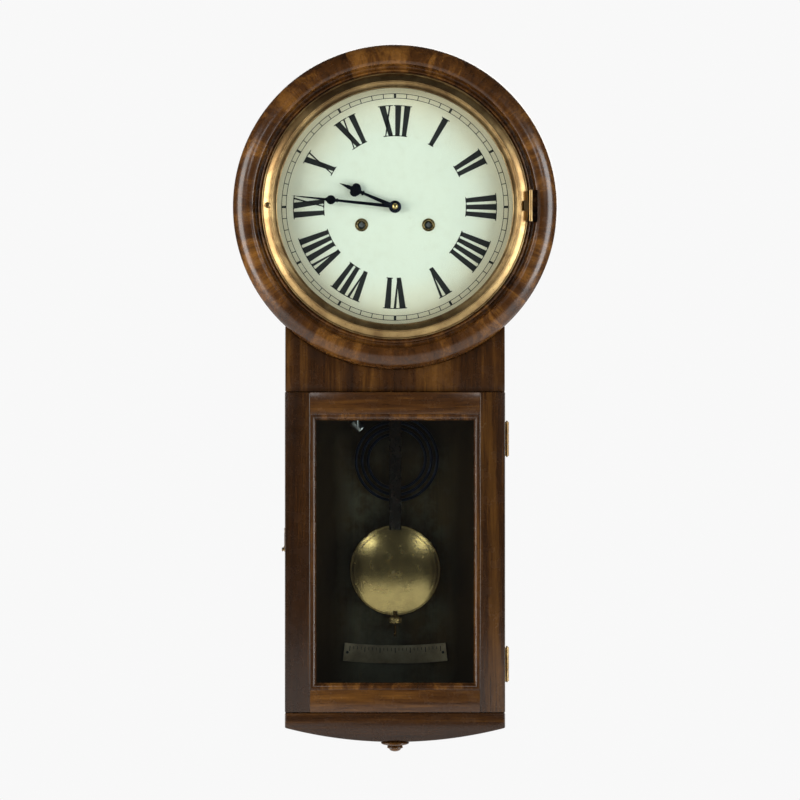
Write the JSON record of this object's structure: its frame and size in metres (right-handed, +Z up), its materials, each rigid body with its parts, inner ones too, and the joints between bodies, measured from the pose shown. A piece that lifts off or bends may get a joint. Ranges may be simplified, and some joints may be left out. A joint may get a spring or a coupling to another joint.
{
  "type": "pendulum wall clock",
  "caption": "Round-headed pendulum wall clock: turned wooden surround, hinged glazed bezel, roman dial, glazed trunk door over a brass bob, spring-driven striking movement.",
  "frame": {"origin": "on the back board's rear face, straight behind the hand arbor", "axes": "+Z up, front faces -Y, wall plane is Y = 0, +X to the viewer's right"},
  "size_m": [0.416, 0.1597, 0.9071],
  "materials": {
    "polished_wood": "polished, reddish brown, figured",
    "dark_wood": "stained and waxed",
    "back_wood": "unpolished, dusty",
    "brass": "polished",
    "steel": "ground",
    "blued_steel": "blued, nearly black",
    "iron": "black",
    "enamel": "aged off-white dial paint",
    "glass": "clear"
  },
  "bodies": {
    "case": {"dial_surround": "polished_wood", "gong_coil": "blued_steel", "movement_rear_plate": "brass", "dial_plate": "enamel", "time_mainspring": "steel", "strike_mainspring": "steel", "movement_front_plate": "brass", "head_case_drum": "dark_wood", "back_board": "back_wood", "door_hinge_upper_case_leaf": "brass", "door_hinge_lower_case_leaf": "brass", "drop_finial": "polished_wood", "bezel_hinge_leaf": "brass", "hanger_plate": "iron", "throat_panel": "polished_wood", "beat_scale": "enamel", "bottom_apron": "polished_wood", "bottom_board": "dark_wood", "movement_bracket": "iron", "suspension_cock": "brass", "trunk_side_left": "polished_wood", "trunk_side_right": "polished_wood", "gong_base": "iron"},
    "bezel": {"bezel_ring": "brass", "bezel_glass": "glass", "bezel_pull": "dark_wood"},
    "trunk_door": {"door_stile_left": "polished_wood", "door_stile_right": "polished_wood", "door_rail_top": "polished_wood", "door_rail_bottom": "polished_wood", "door_glass": "glass", "door_glass_bead": "dark_wood", "door_hinge_upper_door_leaf": "brass", "door_hinge_lower_door_leaf": "brass", "door_hook_stud": "brass"},
    "hook": {"door_hook": "brass"},
    "third": {"third_wheel": "brass"},
    "centre": {"centre_wheel": "brass"},
    "escape": {"escape_wheel": "brass"},
    "time_great": {"time_great_wheel": "brass", "time_click": "steel"},
    "time_arbor": {"time_winding_arbor": "steel"},
    "minute_work": {"minute_wheel": "brass"},
    "hour": {"hour_wheel": "brass", "hour_hand": "blued_steel"},
    "minute": {"cannon_pinion": "steel", "minute_hand": "blued_steel", "hand_nut": "brass"},
    "strike_great": {"strike_great_wheel": "brass", "strike_click": "steel", "count_wheel": "brass"},
    "strike_arbor": {"strike_winding_arbor": "steel"},
    "strike_pins": {"strike_pin_wheel": "brass"},
    "strike_fly": {"strike_fly": "brass"},
    "hammer": {"gong_hammer": "steel"},
    "pendulum": {"suspension_spring": "steel", "pendulum_rod": "dark_wood"},
    "bob": {"pendulum_bob": "brass"},
    "nut": {"rating_nut": "brass"},
    "anchor": {"pallets_and_crutch": "steel"}
  },
  "joints": [
    {"name": "bezel_swing", "type": "hinge", "parent": "case", "child": "bezel", "pos_m": [0.1733, -0.1496, 0], "axis": [0, 0, 1], "range_deg": [0, 105]},
    {"name": "door_swing", "type": "hinge", "parent": "case", "child": "trunk_door", "pos_m": [0.1441, -0.11815, -0.443], "axis": [0, 0, 1], "range_deg": [0, 120]},
    {"name": "door_hook_swing", "type": "hinge", "parent": "case", "child": "hook", "pos_m": [-0.141, -0.104, -0.44], "axis": [1, 0, 0], "range_deg": [0, 90]},
    {"name": "third_wheel_turn", "type": "hinge", "parent": "case", "child": "third", "pos_m": [0.01485, -0.08, 0.02572], "axis": [0, 1, 0], "continuous": true},
    {"name": "centre_wheel_turn", "type": "hinge", "parent": "case", "child": "centre", "pos_m": [0, -0.08, 0], "axis": [0, 1, 0], "continuous": true},
    {"name": "escape_wheel_turn", "type": "hinge", "parent": "case", "child": "escape", "pos_m": [0, -0.08, 0.04473], "axis": [0, 1, 0], "continuous": true},
    {"name": "time_great_wheel_turn", "type": "hinge", "parent": "case", "child": "time_great", "pos_m": [0.043, -0.08, -0.023], "axis": [0, 1, 0], "continuous": true},
    {"name": "time_winding_turn", "type": "hinge", "parent": "time_great", "child": "time_arbor", "pos_m": [0.043, -0.08, -0.023], "axis": [0, 1, 0], "range_deg": [0, 5760]},
    {"name": "minute_hand_turn", "type": "hinge", "parent": "case", "child": "minute", "pos_m": [0, -0.08, 0], "axis": [0, 1, 0], "continuous": true},
    {"name": "minute_wheel_turn", "type": "hinge", "parent": "case", "child": "minute_work", "pos_m": [0, -0.08, -0.018], "axis": [0, 1, 0], "continuous": true},
    {"name": "hour_hand_turn", "type": "hinge", "parent": "case", "child": "hour", "pos_m": [0, -0.08, 0], "axis": [0, 1, 0], "continuous": true},
    {"name": "strike_great_wheel_turn", "type": "hinge", "parent": "case", "child": "strike_great", "pos_m": [-0.043, -0.08, -0.023], "axis": [0, 1, 0], "continuous": true},
    {"name": "strike_winding_turn", "type": "hinge", "parent": "strike_great", "child": "strike_arbor", "pos_m": [-0.043, -0.08, -0.023], "axis": [0, 1, 0], "range_deg": [0, 5760]},
    {"name": "pin_wheel_turn", "type": "hinge", "parent": "case", "child": "strike_pins", "pos_m": [-0.03449, -0.08, 0.02526], "axis": [0, 1, 0], "continuous": true},
    {"name": "fly_turn", "type": "hinge", "parent": "case", "child": "strike_fly", "pos_m": [-0.03887, -0.08, 0.05007], "axis": [0, 1, 0], "continuous": true},
    {"name": "hammer_lift", "type": "hinge", "parent": "case", "child": "hammer", "pos_m": [-0.06149, -0.08, 0.02926], "axis": [0, 1, 0], "range_deg": [0, 8]},
    {"name": "pendulum_swing", "type": "hinge", "parent": "case", "child": "pendulum", "pos_m": [0, -0.08, 0.06498], "axis": [0, 1, 0], "range_deg": [-4, 4], "deforming": ["suspension_spring"]},
    {"name": "anchor_rock", "type": "hinge", "parent": "case", "child": "anchor", "pos_m": [0, -0.08, 0.06498], "axis": [0, 1, 0], "range_deg": [-4, 4]},
    {"name": "rating_nut_turn", "type": "hinge", "parent": "bob", "child": "nut", "pos_m": [0, -0.038, -0.538], "axis": [0, 0, 1], "range_deg": [-1090, 1090]},
    {"name": "bob_rise", "type": "slide", "parent": "pendulum", "child": "bob", "axis": [0, 0, 1], "range_m": [-0.003, 0.003]}
  ],
  "couplings": [
    {"joint": "centre_wheel_turn", "follows": "third_wheel_turn", "ratio": -0.11111},
    {"joint": "escape_wheel_turn", "follows": "third_wheel_turn", "ratio": -8.5714},
    {"joint": "time_great_wheel_turn", "follows": "third_wheel_turn", "ratio": 0.0092593},
    {"joint": "minute_hand_turn", "follows": "third_wheel_turn", "ratio": -0.11111},
    {"joint": "minute_wheel_turn", "follows": "third_wheel_turn", "ratio": 0.037037},
    {"joint": "hour_hand_turn", "follows": "third_wheel_turn", "ratio": -0.0092593},
    {"joint": "pin_wheel_turn", "follows": "strike_great_wheel_turn", "ratio": -9},
    {"joint": "fly_turn", "follows": "strike_great_wheel_turn", "ratio": 63},
    {"joint": "anchor_rock", "follows": "pendulum_swing", "ratio": 1},
    {"joint": "rating_nut_turn", "follows": "bob_rise", "rad_per_m": 6283.2}
  ]
}
